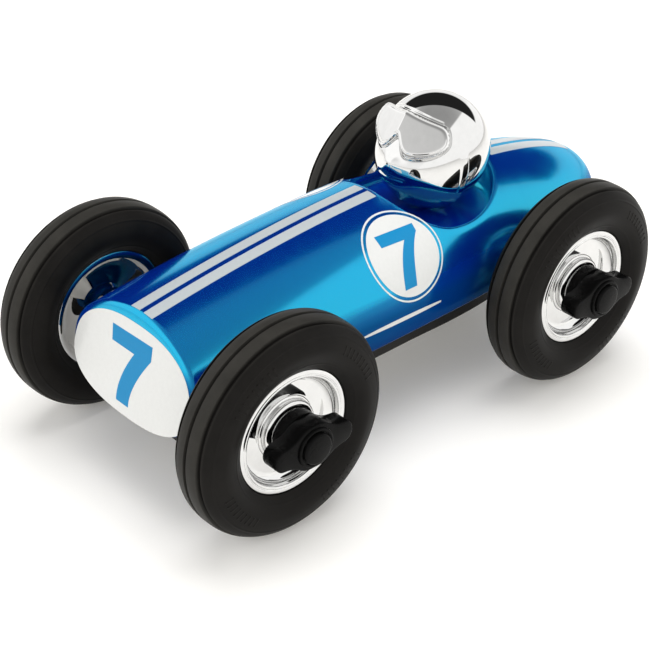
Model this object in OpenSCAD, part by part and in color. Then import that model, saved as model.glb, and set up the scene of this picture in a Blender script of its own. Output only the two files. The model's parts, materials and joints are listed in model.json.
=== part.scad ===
// Toy racing car: moulded single-seat body on a flat chassis pan, chrome driver's head,
// four smooth-tread tyres on chrome hubs, each held by a two-winged spinner.
// Frame: millimetres, +Z up, nose towards -Y, origin on the ground under the middle of
// the overall length.

/* [Overall] */
// Overall length, from the front tyres to the tip of the tail
overall_len = 215.4; // [210:0.2:222]
// Distance between the two axles
wheelbase = 126; // [124:0.5:128]
// Distance between the middle planes of the left and right tyres
track = 88.4; // [88:0.1:92]

/* [Wheels] */
// Radius of the tyre tread
wheel_r = 35; // [34.6:0.1:35.4]
// Width of the tyre
tyre_w = 19.2; // [18.6:0.1:19.6]
// Radius of the hub's outer flange
flange_r = 20; // [19.8:0.1:20.2]
// Radius of the hub's drum, which the tyre grips
drum_r = 17.2; // [16.6:0.1:17.4]
// Depth of the three grooves around the tread
groove_depth = 1.2; // [0.6:0.1:1.6]
// Width of each groove at the surface
groove_w = 1.1; // [0.8:0.1:1.4]
// Distance of the side grooves from the middle groove
groove_pitch = 4.9; // [4.2:0.1:5.2]

/* [Spinners] */
// Tip radius of the two wings
wing_r = 14.4; // [13:0.1:15]
// Half-width of a wing
wing_half = 3.2; // [2.8:0.1:3.4]
// Distance from the tyre's middle plane to the spinner's cap
cap_out = 16.8; // [16.4:0.1:17.2]

/* [Axles] */
// Radius of the steel axles
axle_r = 2; // [1.8:0.05:2.2]
// Radial running clearance of an axle in its bushes
axle_clear = 0.05; // [0.02:0.01:0.09]

/* [Body] */
// Height of the body's crown, just ahead of the driver
crown_z = 68.7; // [66:0.1:70]
// Distance of the crown behind the front axle
crown_back = 83.9; // [78:0.1:88]
// Height of the body's top edge behind the nose rim
nose_top_z = 57.6; // [56:0.1:59]
// Distance of the nose rim ahead of the front axle
nose_ahead = 18.6; // [17:0.1:20]
// Half-width of the body at its widest place
body_half = 31.7; // [30.5:0.1:32]
// Half-width of the body at the nose rim
nose_half = 30.2; // [29.5:0.1:30.5]
// Distance of the widest place behind the front axle
widest_back = 32.1; // [28:0.1:36]
// Height of the tail's tip
tail_z = 38.8; // [38:0.1:40]
// Height of the body's lower edge
skirt_z = 23.8; // [23.4:0.1:24.2]
// Height of the chassis pan's underside
pan_z = 17; // [16.4:0.1:18]
// Wall thickness of the moulded body
wall = 2.4; // [2:0.1:2.8]

/* [Nose face] */
// Half-width and half-height of the flat face
face_half = [27.9, 15.1];
// Backward lean of the flat face, in degrees
face_lean = 12.4; // [10:0.1:14]

/* [Cockpit] */
// Distance of the cockpit's middle behind the front axle
well_back = 96.2; // [95:0.1:97]
// Half-width of the cockpit
well_half = 22.4; // [21.5:0.1:23]
// Length of the cockpit ahead of its middle
well_front = 20.1; // [19.5:0.1:21]
// Length of the cockpit behind its middle
well_rear = 28.5; // [28:0.1:29]
// Height of the cockpit's floor
floor_z = 54; // [52:0.1:54.1]

/* [Driver] */
// Radius of the round helmet
head_r = 18.3; // [17.8:0.1:18.8]
// Height of the helmet's middle
head_z = 74.7; // [73.8:0.1:75.4]
// Distance of the helmet's middle behind the front axle
head_back = 104.5; // [103.5:0.1:105.2]

/* [Fasteners] */
// Radius of the screw shanks
screw_r = 1.25; // [1:0.05:1.4]
// Radius of the screw heads
screw_head_r = 2.6; // [2.2:0.1:2.8]

/* [Hidden] */

tail_y = overall_len / 2;
front_y = wheel_r - overall_len / 2;
rear_y = front_y + wheelbase;
plane_x = track / 2;
nose_y = front_y - nose_ahead;
crown_y = front_y + crown_back;
widest_y = front_y + widest_back;
well_y = front_y + well_back;
head_y = front_y + head_back;

blue = [0.02, 0.24, 0.58];
pan_grey = [0.22, 0.21, 0.20];
chrome = [0.85, 0.86, 0.88];
rubber = [0.16, 0.155, 0.15];
black = [0.05, 0.05, 0.05];
steel = [0.62, 0.63, 0.65];
nylon = [0.88, 0.87, 0.82];

// ---- Body surface: superellipse sections along the length ----

// Exponents of the section's upper and lower halves
upper_n = 1.95;
lower_n = 2.32;
// Exponents of the top line ahead of the crown, the top line behind it, and the tail's plan
hood_n = 1.74;
tail_n = 2.49;
plan_n = 2.6;
// Height of the widest line at the crown and at the nose, and of the virtual lowest line
waist_z = 40.4;
waist_nose_z = 39.7;
belly_z = 21.5;
// Rise of the lowest line at the nose, which rounds off the underside there
nose_rise = 2.8;
// Where the section planes stop leaning, going back from the nose
upright_y = nose_y + 46.5;
// Forward reach of the rounded rim from the first section to the flat face
rim_reach = 1.7;
// Middle height of the flat face, and its exponent and taper
face_z = 39.8;
face_n = 2.43;
face_taper = 0.067;

function clamp01(t) = max(0, min(1, t));
function sgn(v) = v < 0 ? -1 : 1;
function pw(v, e) = sgn(v) * pow(abs(v), e);

// Fraction of the way forward from the crown to the nose, and back from it to the tail
function fore(y) = max(0, (crown_y - y) / (crown_y - nose_y));
function aft(y) = clamp01((y - crown_y) / (tail_y - crown_y));
function aft_round(y) = pow(1 - pow(aft(y), tail_n), 1 / tail_n);

function waist(y) = y < crown_y
    ? waist_z + (waist_nose_z - waist_z) * pow(fore(y), 2)
    : waist_z + (tail_z - waist_z) * aft(y);
function roof(y) = y < crown_y
    ? crown_z - (crown_z - nose_top_z) * pow(fore(y), hood_n)
    : waist(y) + (crown_z - waist_z) * aft_round(y);
function belly(y) = y < crown_y
    ? waist(y) - (waist_z - belly_z) + nose_rise * pow(fore(y), 8)
    : waist(y) - (waist_z - belly_z) * aft_round(y);
function half_w(y) = y < widest_y
    ? body_half - (body_half - nose_half) * pow((widest_y - y) / (widest_y - nose_y), 2)
    : body_half * pow(1 - pow(clamp01((y - widest_y) / (tail_y - widest_y)), plan_n), 1 / plan_n);

// Point of the section at y and angle a, for a skin that is inset by t
function ring_z(y, a, t) = let (s = sin(a)) s >= 0
    ? waist(y) + max(0.02, roof(y) - waist(y) - t) * pow(s, 2 / upper_n)
    : waist(y) - max(0.02, waist(y) - belly(y) - t) * pow(-s, 2 / lower_n);
function ring_x(y, a, t) = max(0.02, half_w(y) - t)
    * pw(cos(a), 2 / (sin(a) >= 0 ? upper_n : lower_n));
// The section plane leans back with the nose face, and stands upright further aft
function lean(y, z) = tan(face_lean) * (z - face_z) * clamp01((upright_y - y) / (upright_y - nose_y));
function skin(y, a, t) = let (
    z0 = ring_z(y, a, t),
    z1 = ring_z(y + lean(y, z0), a, t),
    y1 = y + lean(y, z1)
) [ring_x(y1, a, t), y1, max(skirt_z + t, ring_z(y1, a, t))];

// Half-width of the opening under the body, at the height of its lower edge
function skirt_half(y) = half_w(y)
    * pow(max(0, 1 - pow((waist(y) - skirt_z) / max(0.1, waist(y) - belly(y)), lower_n)), 1 / lower_n);

// Point of the flat face's edge at angle a, on the leaning plane
function face_pt(a) = let (
    s = pw(sin(a), 2 / face_n),
    x = face_half[0] * (1 - face_taper * s) * pw(cos(a), 2 / face_n),
    z = max(skirt_z + 0.4, face_z + face_half[1] * s * cos(face_lean))
) [x, nose_y - rim_reach + tan(face_lean) * (z - face_z), z];

// Middle of a list of points
function mean(points) = [for (k = [0 : 2])
    [for (p = points) p[k]] * [for (p = points) 1] / len(points)];

// Closed solid from a list of rings with equal counts of points
module loft(rings) {
    n = len(rings[0]);
    m = len(rings);
    // Each end is closed by a fan around its middle point
    mid = [mean(rings[0]), mean(rings[m - 1])];
    points = concat([for (r = rings) for (p = r) p], mid);
    sides = [for (j = [0 : m - 2]) for (i = [0 : n - 1])
        let (k = (i + 1) % n) each [
            [j * n + i, (j + 1) * n + k, (j + 1) * n + i],
            [j * n + i, j * n + k, (j + 1) * n + k],
        ]];
    first = [for (i = [0 : n - 1]) [n * m, (i + 1) % n, i]];
    last = [for (i = [0 : n - 1]) [n * m + 1, (m - 1) * n + i, (m - 1) * n + (i + 1) % n]];
    polyhedron(points, concat(first, sides, last));
}

around = 44;
stations = 30;
rim_steps = 3;
function ring_angle(i, n) = -90 + 360 * (i + 0.5) / n;
// Sections lie closer together towards the tail, where the skin turns in
function along(f, y_from, y_to) = y_from + (y_to - y_from) * sin(90 * f);

module body_outer() {
    rim = [for (j = [0 : rim_steps - 1])
        let (q = 90 * j / rim_steps)
        [for (i = [0 : around - 1])
            let (a = ring_angle(i, around), f = face_pt(a), s = skin(nose_y, a, 0))
            [f[0] + (s[0] - f[0]) * sin(q),
             f[1] + (s[1] - f[1]) * (1 - cos(q)),
             f[2] + (s[2] - f[2]) * sin(q)]]];
    flank = [for (j = [0 : stations])
        let (y = along(j / stations, nose_y, tail_y - 0.05))
        [for (i = [0 : around - 1]) skin(y, ring_angle(i, around), 0)]];
    loft(concat(rim, flank));
}

module body_cavity() {
    n = 28;
    m = 18;
    loft([for (j = [0 : m])
        let (y = along(j / m, nose_y + wall, tail_y - 2 * wall))
        [for (i = [0 : n - 1]) skin(y, ring_angle(i, n), wall)]]);
}

// ---- Cockpit ----

// Plan outline of the cockpit, grown outwards by g
module well_plan(g) {
    steps = 48;
    polygon([for (i = [0 : steps - 1])
        let (a = 360 * i / steps, e = sin(a) < 0 ? 2 / 2.5 : 1,
             l = sin(a) < 0 ? well_front : well_rear)
        [(well_half + g) * pw(cos(a), e), well_y + (l + g) * pw(sin(a), e)]]);
}

// ---- Chassis outline and fastener places ----

// Furthest place aft where the opening under the body is still wide enough
pan_rear_y = crown_y + 0.66 * (tail_y - crown_y);
pan_front_y = front_y - 13;

module pan_plan(inset) {
    steps = 26;
    y0 = pan_front_y + inset;
    y1 = pan_rear_y - inset;
    ys = [for (i = [0 : steps]) y0 + (y1 - y0) * i / steps];
    side = [for (y = ys) [max(1, skirt_half(max(y, nose_y)) - 0.5 - inset), y]];
    back = [for (i = [len(side) - 1 : -1 : 0]) [-side[i][0], side[i][1]]];
    polygon(concat(side, back));
}

post_r = 3.6;
post_places = [for (y = [front_y + 19, rear_y - 15]) for (x = [-9, 9]) [x, y]];
// Depth of the counterbore that takes a screw head in the pan
counterbore = 2.2;
pilot_len = 12;

bush_r = 3.5;
bush_flange_r = 5.2;
bush_flange_t = 1.2;
lug_x = 4.6;
lug_t = 5;
lug_r = 8;
spacer_r = 3.2;
spacer_hole_r = 3.9;
// Axial play of the wheel set between the bush flanges
end_play = 0.15;

// Radius of the head's foot on the cockpit floor
foot_r = 9;

module body_shell() {
    color(blue)
    difference() {
        body_outer();
        difference() {
            union() {
                body_cavity();
                translate([0, 0, skirt_z - 4])
                    linear_extrude(12)
                        pan_plan(wall);
            }
            translate([0, 0, floor_z - wall])
                linear_extrude(60)
                    well_plan(wall);
            for (p = post_places)
                translate([p[0], p[1], skirt_z + 0.2])
                    cylinder(r = post_r, h = 60, $fn = 40);
        }
        translate([0, 0, floor_z])
            linear_extrude(60)
                well_plan(0);
        for (p = post_places)
            translate([p[0], p[1], skirt_z - 4])
                cylinder(r = screw_r, h = 4.2 + pilot_len, $fn = 32);
        for (y = [front_y, rear_y])
            translate([-body_half - 5, y, wheel_r])
                rotate([0, 90, 0])
                    cylinder(r = spacer_hole_r, h = 2 * body_half + 10, $fn = 48);
        translate([0, head_y, floor_z - wall - 1])
            cylinder(r = screw_r + 0.1, h = wall + 2, $fn = 32);
    }
}

module chassis_pan() {
    lip_h = 2.6;
    color(pan_grey)
    difference() {
        union() {
            translate([0, 0, pan_z])
                linear_extrude(skirt_z - pan_z)
                    pan_plan(0);
            translate([0, 0, skirt_z - 0.01])
                linear_extrude(lip_h)
                    pan_plan(wall + 0.3);
            for (y = [front_y, rear_y])
                for (s = [-1, 1])
                    bearing_lug(s, y);
        }
        // The tray is hollowed out between the lugs and the screw posts
        difference() {
            translate([0, 0, pan_z + 2.4])
                linear_extrude(20)
                    pan_plan(wall + 2.5);
            for (y = [front_y, rear_y])
                for (s = [-1, 1])
                    bearing_lug(s, y);
            for (p = post_places)
                translate([p[0], p[1], pan_z])
                    cylinder(r = post_r + 1.4, h = skirt_z + 0.2 - pan_z, $fn = 40);
        }
        for (p = post_places) {
            translate([p[0], p[1], pan_z - 1])
                cylinder(r = screw_r + 0.15, h = 30, $fn = 32);
            translate([p[0], p[1], pan_z - 1])
                cylinder(r = screw_head_r + 0.3, h = 1 + counterbore, $fn = 40);
            translate([p[0], p[1], skirt_z + 0.2])
                cylinder(r = post_r + 1.4, h = 10, $fn = 40);
        }
    }
}

// Upright ear of the pan with the bore that holds a bush; s is the side, +1 is left
module bearing_lug(s, y) {
    x = s > 0 ? lug_x : -lug_x - lug_t;
    difference() {
        union() {
            translate([x, y, wheel_r])
                rotate([0, 90, 0])
                    cylinder(r = lug_r, h = lug_t, $fn = 64);
            translate([x, y - lug_r, pan_z + 1])
                cube([lug_t, 2 * lug_r, wheel_r - pan_z - 1]);
        }
        translate([x - 1, y, wheel_r])
            rotate([0, 90, 0])
                cylinder(r = bush_r, h = lug_t + 2, $fn = 64);
    }
}

module bush(s, y) {
    color(nylon)
    translate([0, y, wheel_r])
    rotate([0, s * 90, 0])
    difference() {
        union() {
            translate([0, 0, lug_x])
                cylinder(r = bush_r, h = lug_t, $fn = 64);
            translate([0, 0, lug_x + lug_t])
                cylinder(r = bush_flange_r, h = bush_flange_t, $fn = 64);
        }
        translate([0, 0, lug_x - 1])
            cylinder(r = axle_r + axle_clear, h = lug_t + bush_flange_t + 2, $fn = 64);
    }
}

// ---- Driver ----

// Direction from the head's middle: lon is measured to the driver's left, lat upwards
module head_dir(lon, lat) {
    translate([0, head_y, head_z])
        rotate([0, 0, lon])
            rotate([90 - lat, 0, 0])
                children();
}

module driver_head() {
    skin_r = head_r - 0.7;
    jaw_r = 17.2;
    goggle_r = 8.4;
    goggle_lon = 27;
    goggle_lat = 31;
    shell = 2.8;
    color(chrome)
    difference() {
        union() {
            // Helmet: the part of the round head above and behind a leaning cut
            intersection() {
                translate([0, head_y, head_z])
                    sphere(r = head_r, $fn = 96);
                head_dir(0, 12)
                    translate([-40, -40, -60])
                        cube([80, 80, 60 + head_r * 0.71]);
            }
            translate([0, head_y, head_z])
                sphere(r = skin_r, $fn = 96);
            // Jaw: a fuller bowl below the helmet, a little ahead of it
            translate([0, head_y - 2, head_z - 3.4])
                sphere(r = jaw_r, $fn = 80);
            // Two broad goggle lenses that meet over the nose
            for (s = [-1, 1])
                head_dir(s * goggle_lon, goggle_lat)
                    cylinder(r = goggle_r, h = head_r + 0.8, $fn = 64);
            // Neck and the foot that stands on the cockpit floor
            translate([0, head_y, floor_z])
                cylinder(r = foot_r, h = head_z - floor_z, $fn = 64);
        }
        // The moulding is hollow; the screw's bore opens into it
        translate([0, head_y, head_z])
            sphere(r = head_r - shell, $fn = 80);
        translate([0, head_y, floor_z - 1])
            cylinder(r = screw_r, h = head_z - floor_z, $fn = 32);
    }
}

module head_screw() {
    color(steel)
    translate([0, head_y, floor_z - wall]) {
        cylinder(r = screw_r, h = wall + 5, $fn = 32);
        difference() {
            translate([0, 0, -1.8])
                cylinder(r = screw_head_r, h = 1.8, $fn = 48);
            cross_slot(-1.8, 1);
        }
    }
}

module chassis_screws() {
    color(steel)
    for (p = post_places)
        translate([p[0], p[1], pan_z + counterbore])
            union() {
                cylinder(r = screw_r, h = skirt_z - pan_z - counterbore + 9, $fn = 32);
                difference() {
                    translate([0, 0, -1.8])
                        cylinder(r = screw_head_r, h = 1.8, $fn = 48);
                    cross_slot(-1.8, 1);
                }
            }
}

// Cross recess in a screw head whose outer face lies at z
module cross_slot(z, depth) {
    for (a = [0, 90])
        rotate([0, 0, a])
            translate([-1.6, -0.35, z - 0.01])
                cube([3.2, 0.7, depth]);
}

// ---- Wheel sets ----

// Half-length of an axle: its ends stop inside the spinners
axle_half = plane_x + 12;
boss_in = 4.6;
boss_face = 5.2;

module axle(y) {
    color(steel)
    translate([-axle_half, y, wheel_r])
        rotate([0, 90, 0])
            cylinder(r = axle_r, h = 2 * axle_half, $fn = 64);
}

// Everything on a wheel is drawn along +Z from the tyre's middle plane, then turned out
module on_wheel(s, y) {
    translate([s * plane_x, y, wheel_r])
        rotate([0, s * 90, 0])
            children();
}

module spacer(s, y) {
    z0 = lug_x + lug_t + bush_flange_t + end_play;
    color(nylon)
    translate([0, y, wheel_r])
    rotate([0, s * 90, 0])
    difference() {
        translate([0, 0, z0])
            cylinder(r = spacer_r, h = plane_x - boss_in - z0, $fn = 64);
        translate([0, 0, z0 - 1])
            cylinder(r = axle_r, h = plane_x, $fn = 64);
    }
}

// Middle of the tread's superellipse, and its exponent
shoulder_r = 21;
shoulder_n = 2.83;
// Radius where the sidewall begins to roll in towards the hub, and how far it rolls in
roll_r = 27.5;
roll_in = 3.3;
flange_z = 4.4;

// Radius of the tread at z from the tyre's middle plane, with the three grooves cut in
function tread_r(z) = let (
    base = shoulder_r + (wheel_r - shoulder_r)
        * pow(1 - pow(abs(z) / (tyre_w / 2), shoulder_n), 1 / shoulder_n),
    d = min([for (g = [-groove_pitch, 0, groove_pitch]) abs(z - g)]),
    cut = clamp01((groove_w / 2 - d) / 0.25)
) base - groove_depth * cut;

// Section angle at the start of the roll, and the sidewall's distance from the middle plane
side_angle = asin(pow((roll_r - shoulder_r) / (wheel_r - shoulder_r), shoulder_n / 2));
function sidewall_z(r) = tyre_w / 2
    * pow(1 - pow(max(0, r - shoulder_r) / (wheel_r - shoulder_r), shoulder_n), 1 / shoulder_n)
    - roll_in * pow(max(0, roll_r - r) / (roll_r - flange_r - 0.15), 1.8);

module tyre(s, y) {
    half = tyre_w / 2;
    // Stations across the tread: the groove walls and a few between them
    g = groove_w / 2;
    across = [for (c = [-groove_pitch, 0, groove_pitch])
        each [c - g, c - g + 0.25, c + g - 0.25, c + g]];
    between = [-groove_pitch / 2, groove_pitch / 2];
    tread = [across[0], across[1], across[2], across[3], between[0],
             across[4], across[5], across[6], across[7], between[1],
             across[8], across[9], across[10], across[11]];
    edge_a = acos(pow(across[11] / half, shoulder_n / 2));
    bead_r = flange_r + 0.15;
    shoulder = [for (i = [1 : 9])
        let (a = edge_a + (side_angle - edge_a) * i / 9)
        [half * pow(cos(a), 2 / shoulder_n),
         shoulder_r + (wheel_r - shoulder_r) * pow(sin(a), 2 / shoulder_n)]];
    sidewall = [for (i = [1 : 9])
        let (r = roll_r - (roll_r - bead_r) * i / 9) [sidewall_z(r), r]];
    up = concat(shoulder, sidewall, [[flange_z, bead_r]], [[flange_z, drum_r]]);
    down = [for (i = [len(up) - 1 : -1 : 0]) [-up[i][0], up[i][1]]];
    outline = concat(down, [for (z = tread) [z, tread_r(z)]], up);
    color(rubber)
    on_wheel(s, y)
        rotate_extrude($fn = 96)
            polygon([for (p = outline) [p[1], p[0]]]);
}

module hub(s, y) {
    // Every profile point is [radius, distance outwards from the tyre's middle plane]
    boss_r = 9.3;
    lip_z = 6;
    dish_r = flange_r - 2.9;
    dish_z = 5.8;
    boss = [[axle_r, -boss_in], [axle_r, boss_face], [6, boss_face], [6, 4.6],
            [boss_r - 1.2, 4.6], [boss_r - 0.35, 4.25], [boss_r, 3.4], [boss_r, 2.4]];
    // The dish has a level floor around the boss and a steep rounded wall up to its edge
    dish = [[boss_r + 0.8, 1.9], [dish_r - 2.8, 1.9], [dish_r - 1.8, 2.3],
            [dish_r - 1, 3.2], [dish_r - 0.4, 4.6]];
    lip = [[dish_r, dish_z], [flange_r - 2.3, dish_z], [flange_r - 2, 5.4], [flange_r - 1.5, 5.4],
           [flange_r - 1.2, lip_z], [flange_r - 0.5, lip_z], [flange_r, lip_z - 0.5]];
    drum = [[flange_r, flange_z], [drum_r, flange_z], [drum_r, -flange_z], [flange_r, -flange_z]];
    inner = [[flange_r, 0.5 - lip_z], [flange_r - 0.5, -lip_z], [dish_r, -lip_z],
             [dish_r, -4.5], [dish_r - 2, -1.8], [7.5, -1.5], [6, -boss_in]];
    color(chrome)
    on_wheel(s, y)
        rotate_extrude($fn = 96)
            polygon(concat(boss, dish, lip, drum, inner));
}

module spinner(s, y) {
    base_r = 7.7;
    back = 8.8;
    front = 15;
    color(black)
    on_wheel(s, y)
    difference() {
        union() {
            translate([0, 0, boss_face])
                cylinder(r = base_r, h = back - boss_face, $fn = 64);
            translate([0, 0, back - 0.01])
                linear_extrude(front - back + 0.01)
                    wing_plan();
            translate([0, 0, front - 0.01])
                cylinder(r = 6.1, h = 0.8, $fn = 64);
            translate([0, 0, front])
                cylinder(r = 4.9, h = cap_out - front, $fn = 64);
        }
        translate([0, 0, boss_face - 1])
            cylinder(r = axle_r, h = axle_half - plane_x - boss_face + 1, $fn = 64);
    }
}

// Half-width of the spinner's plan at distance y along its wings: broad at the boss,
// narrowing smoothly to the wings, with round tips
function wing_side(y) = let (
    boss = 7.2,
    tip = 2.9,
    w = wing_half + (boss - wing_half) / (1 + pow(abs(y) / 6.2, 4)),
    over = max(0, abs(y) - (wing_r - tip)) / tip
) w * sqrt(max(0, 1 - over * over));

module wing_plan() {
    steps = 11;
    // Points lie closer together towards the tips
    ys = [for (i = [-steps : steps]) wing_r * sin(90 * i / steps)];
    left = [for (y = ys) [wing_side(y) + 0.01, y]];
    right = [for (i = [len(ys) - 1 : -1 : 0]) [-left[i][0], left[i][1]]];
    polygon(concat(left, right));
}

body_shell();
chassis_pan();
driver_head();
head_screw();
chassis_screws();
axle(front_y);  // front_axle
axle(rear_y);  // rear_axle
bush(1, front_y);  // bush_fl
bush(-1, front_y);  // bush_fr
bush(1, rear_y);  // bush_rl
bush(-1, rear_y);  // bush_rr
spacer(1, front_y);  // spacer_fl
spacer(-1, front_y);  // spacer_fr
spacer(1, rear_y);  // spacer_rl
spacer(-1, rear_y);  // spacer_rr
hub(1, front_y);  // hub_fl
hub(-1, front_y);  // hub_fr
hub(1, rear_y);  // hub_rl
hub(-1, rear_y);  // hub_rr
tyre(1, front_y);  // tyre_fl
tyre(-1, front_y);  // tyre_fr
tyre(1, rear_y);  // tyre_rl
tyre(-1, rear_y);  // tyre_rr
spinner(1, front_y);  // spinner_fl
spinner(-1, front_y);  // spinner_fr
spinner(1, rear_y);  // spinner_rl
spinner(-1, rear_y);  // spinner_rr
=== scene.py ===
"""Looks of the toy racing car: paint, prints, plated parts, tyres, studio and camera.

Everything is in metres in the CAD frame: nose towards -Y, the car's left towards +X.
"""
import json
import math

import bmesh
import bpy
from mathutils import Matrix, Vector

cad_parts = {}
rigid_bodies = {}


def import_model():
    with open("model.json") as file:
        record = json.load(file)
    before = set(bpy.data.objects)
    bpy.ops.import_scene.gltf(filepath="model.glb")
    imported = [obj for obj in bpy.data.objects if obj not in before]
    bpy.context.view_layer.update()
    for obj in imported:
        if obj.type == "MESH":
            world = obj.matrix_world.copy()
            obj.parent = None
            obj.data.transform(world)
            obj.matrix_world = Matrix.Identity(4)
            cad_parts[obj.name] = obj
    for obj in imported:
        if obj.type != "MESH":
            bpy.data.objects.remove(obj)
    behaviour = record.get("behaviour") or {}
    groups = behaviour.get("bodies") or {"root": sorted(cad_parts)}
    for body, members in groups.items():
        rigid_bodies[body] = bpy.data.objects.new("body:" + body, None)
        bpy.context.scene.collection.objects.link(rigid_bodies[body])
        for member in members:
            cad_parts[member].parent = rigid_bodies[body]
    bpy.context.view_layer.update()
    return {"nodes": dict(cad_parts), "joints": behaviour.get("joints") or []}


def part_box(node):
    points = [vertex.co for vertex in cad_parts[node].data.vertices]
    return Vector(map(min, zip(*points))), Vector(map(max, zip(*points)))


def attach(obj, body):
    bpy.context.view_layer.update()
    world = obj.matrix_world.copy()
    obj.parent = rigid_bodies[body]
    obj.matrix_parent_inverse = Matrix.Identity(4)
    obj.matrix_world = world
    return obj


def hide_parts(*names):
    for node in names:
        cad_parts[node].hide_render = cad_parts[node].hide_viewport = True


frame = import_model()

MM = 0.001
BODY = "car_body"

# ---------------------------------------------------------------- driving dimensions

joints = {j["name"]: j for j in frame["joints"]}
FRONT_Y = joints["front_axle_spin"]["pos_m"][1]
REAR_Y = joints["rear_axle_spin"]["pos_m"][1]
tyre_lo, tyre_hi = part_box("tyre_fl")
WHEEL_R = (tyre_hi.z - tyre_lo.z) / 2
WHEEL_X = (tyre_hi.x + tyre_lo.x) / 2
TYRE_HALF = (tyre_hi.x - tyre_lo.x) / 2
shell_lo, shell_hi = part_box("body_shell")
TAIL_Y = shell_hi.y

# The body's shape, as in the CAD source
CROWN_Z = 68.7 * MM
CROWN_Y = FRONT_Y + 83.9 * MM
NOSE_TOP_Z = 57.6 * MM
NOSE_Y = FRONT_Y - 18.6 * MM
BODY_HALF = 31.7 * MM
NOSE_HALF = 30.2 * MM
WIDEST_Y = FRONT_Y + 32.1 * MM
TAIL_Z = 38.8 * MM
SKIRT_Z = shell_lo.z
WAIST_Z = 40.4 * MM
WAIST_NOSE_Z = 39.7 * MM
BELLY_Z = 21.5 * MM
NOSE_RISE = 2.8 * MM
UPPER_N, LOWER_N = 1.95, 2.32
HOOD_N, TAIL_N, PLAN_N = 1.74, 2.49, 2.6
UPRIGHT_Y = NOSE_Y + 46.5 * MM
RIM_REACH = 1.7 * MM
FACE_LEAN = math.radians(12.4)
FACE_Z = 39.8 * MM
FACE_HALF = (27.9 * MM, 15.1 * MM)
FACE_N, FACE_TAPER = 2.43, 0.067
AXLE_HOLE_R = 3.9 * MM

# The cockpit's well
WELL_Y = FRONT_Y + 96.2 * MM
WELL_HALF = 22.4 * MM
WELL_FRONT, WELL_REAR = 20.1 * MM, 28.5 * MM
WELL_FRONT_N = 2.5
RIM = 2.2 * MM  # reach of the rounded lip
FLOOR_Z = 54.0 * MM
FLOOR_FILLET = 2.5 * MM

HEAD_R = 18.3 * MM
HEAD = Vector((0, FRONT_Y + 104.5 * MM, 74.7 * MM))


def clamp01(t):
    return max(0.0, min(1.0, t))


def powed(v, e):
    """Power of a signed value that keeps its sign."""
    return math.copysign(abs(v) ** e, v)


def smooth(lo, hi, t):
    """0 below lo, 1 above hi, with a soft step between."""
    t = clamp01((t - lo) / (hi - lo))
    return t * t * (3 - 2 * t)


# ---------------------------------------------------------------- the body's surface

def aft_round(y):
    u = clamp01((y - CROWN_Y) / (TAIL_Y - CROWN_Y))
    return (1 - u ** TAIL_N) ** (1 / TAIL_N)


def waist(y):
    if y < CROWN_Y:
        return WAIST_Z + (WAIST_NOSE_Z - WAIST_Z) * ((CROWN_Y - y) / (CROWN_Y - NOSE_Y)) ** 2
    return WAIST_Z + (TAIL_Z - WAIST_Z) * clamp01((y - CROWN_Y) / (TAIL_Y - CROWN_Y))


def roof(y):
    if y < CROWN_Y:
        return CROWN_Z - (CROWN_Z - NOSE_TOP_Z) * ((CROWN_Y - y) / (CROWN_Y - NOSE_Y)) ** HOOD_N
    return waist(y) + (CROWN_Z - WAIST_Z) * aft_round(y)


def belly(y):
    rise = NOSE_RISE * (max(0.0, CROWN_Y - y) / (CROWN_Y - NOSE_Y)) ** 8
    return waist(y) - (WAIST_Z - BELLY_Z) * aft_round(y) + rise


def half_width(y):
    if y < WIDEST_Y:
        return BODY_HALF - (BODY_HALF - NOSE_HALF) * ((WIDEST_Y - y) / (WIDEST_Y - NOSE_Y)) ** 2
    u = clamp01((y - WIDEST_Y) / (TAIL_Y - WIDEST_Y))
    return BODY_HALF * (1 - u ** PLAN_N) ** (1 / PLAN_N)


def section_z(y, a):
    s = math.sin(a)
    if s >= 0:
        return waist(y) + (roof(y) - waist(y)) * s ** (2 / UPPER_N)
    return waist(y) - (waist(y) - belly(y)) * (-s) ** (2 / LOWER_N)


def section_x(y, a):
    n = UPPER_N if math.sin(a) >= 0 else LOWER_N
    return half_width(y) * abs(math.cos(a)) ** (2 / n)


def lean(y, z):
    """How far a section's point stands back, because the sections near the nose lean."""
    return math.tan(FACE_LEAN) * (z - FACE_Z) * clamp01((UPRIGHT_Y - y) / (UPRIGHT_Y - NOSE_Y))


def skin(y, a):
    z = section_z(y, a)
    z = section_z(y + lean(y, z), a)
    y1 = y + lean(y, z)
    return Vector((section_x(y1, a), y1, section_z(y1, a)))


def edge_angle(y):
    """Angle at which the section meets the flat underside."""
    depth = waist(y) - belly(y)
    drop = (waist(y) - SKIRT_Z) / depth if depth > 1e-9 else 2
    if drop >= 1:
        return -math.pi / 2
    return -math.asin(drop ** (LOWER_N / 2))


def outside(p):
    """Below 1 inside the body's sections, above 1 outside."""
    x, y, z = p
    up = z >= waist(y)
    n = UPPER_N if up else LOWER_N
    h = (roof(y) - waist(y)) if up else (waist(y) - belly(y))
    w = half_width(y)
    return (abs(x) / max(w, 1e-9)) ** n + (abs(z - waist(y)) / max(h, 1e-9)) ** n


def surface_normal(p):
    """Direction in which outside() grows fastest, away from the body."""
    e = 0.05 * MM
    steps = (Vector((e, 0, 0)), Vector((0, e, 0)), Vector((0, 0, e)))
    return Vector([outside(p + d) - outside(p - d) for d in steps]).normalized()


def on_top(x, y):
    """Point of the surface over the plan place x, y, and its normal."""
    q = clamp01(1 - (abs(x) / half_width(y)) ** UPPER_N)
    p = Vector((x, y, waist(y) + (roof(y) - waist(y)) * q ** (1 / UPPER_N)))
    return p, surface_normal(p)


SIDE_TURN = math.radians(35)


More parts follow.
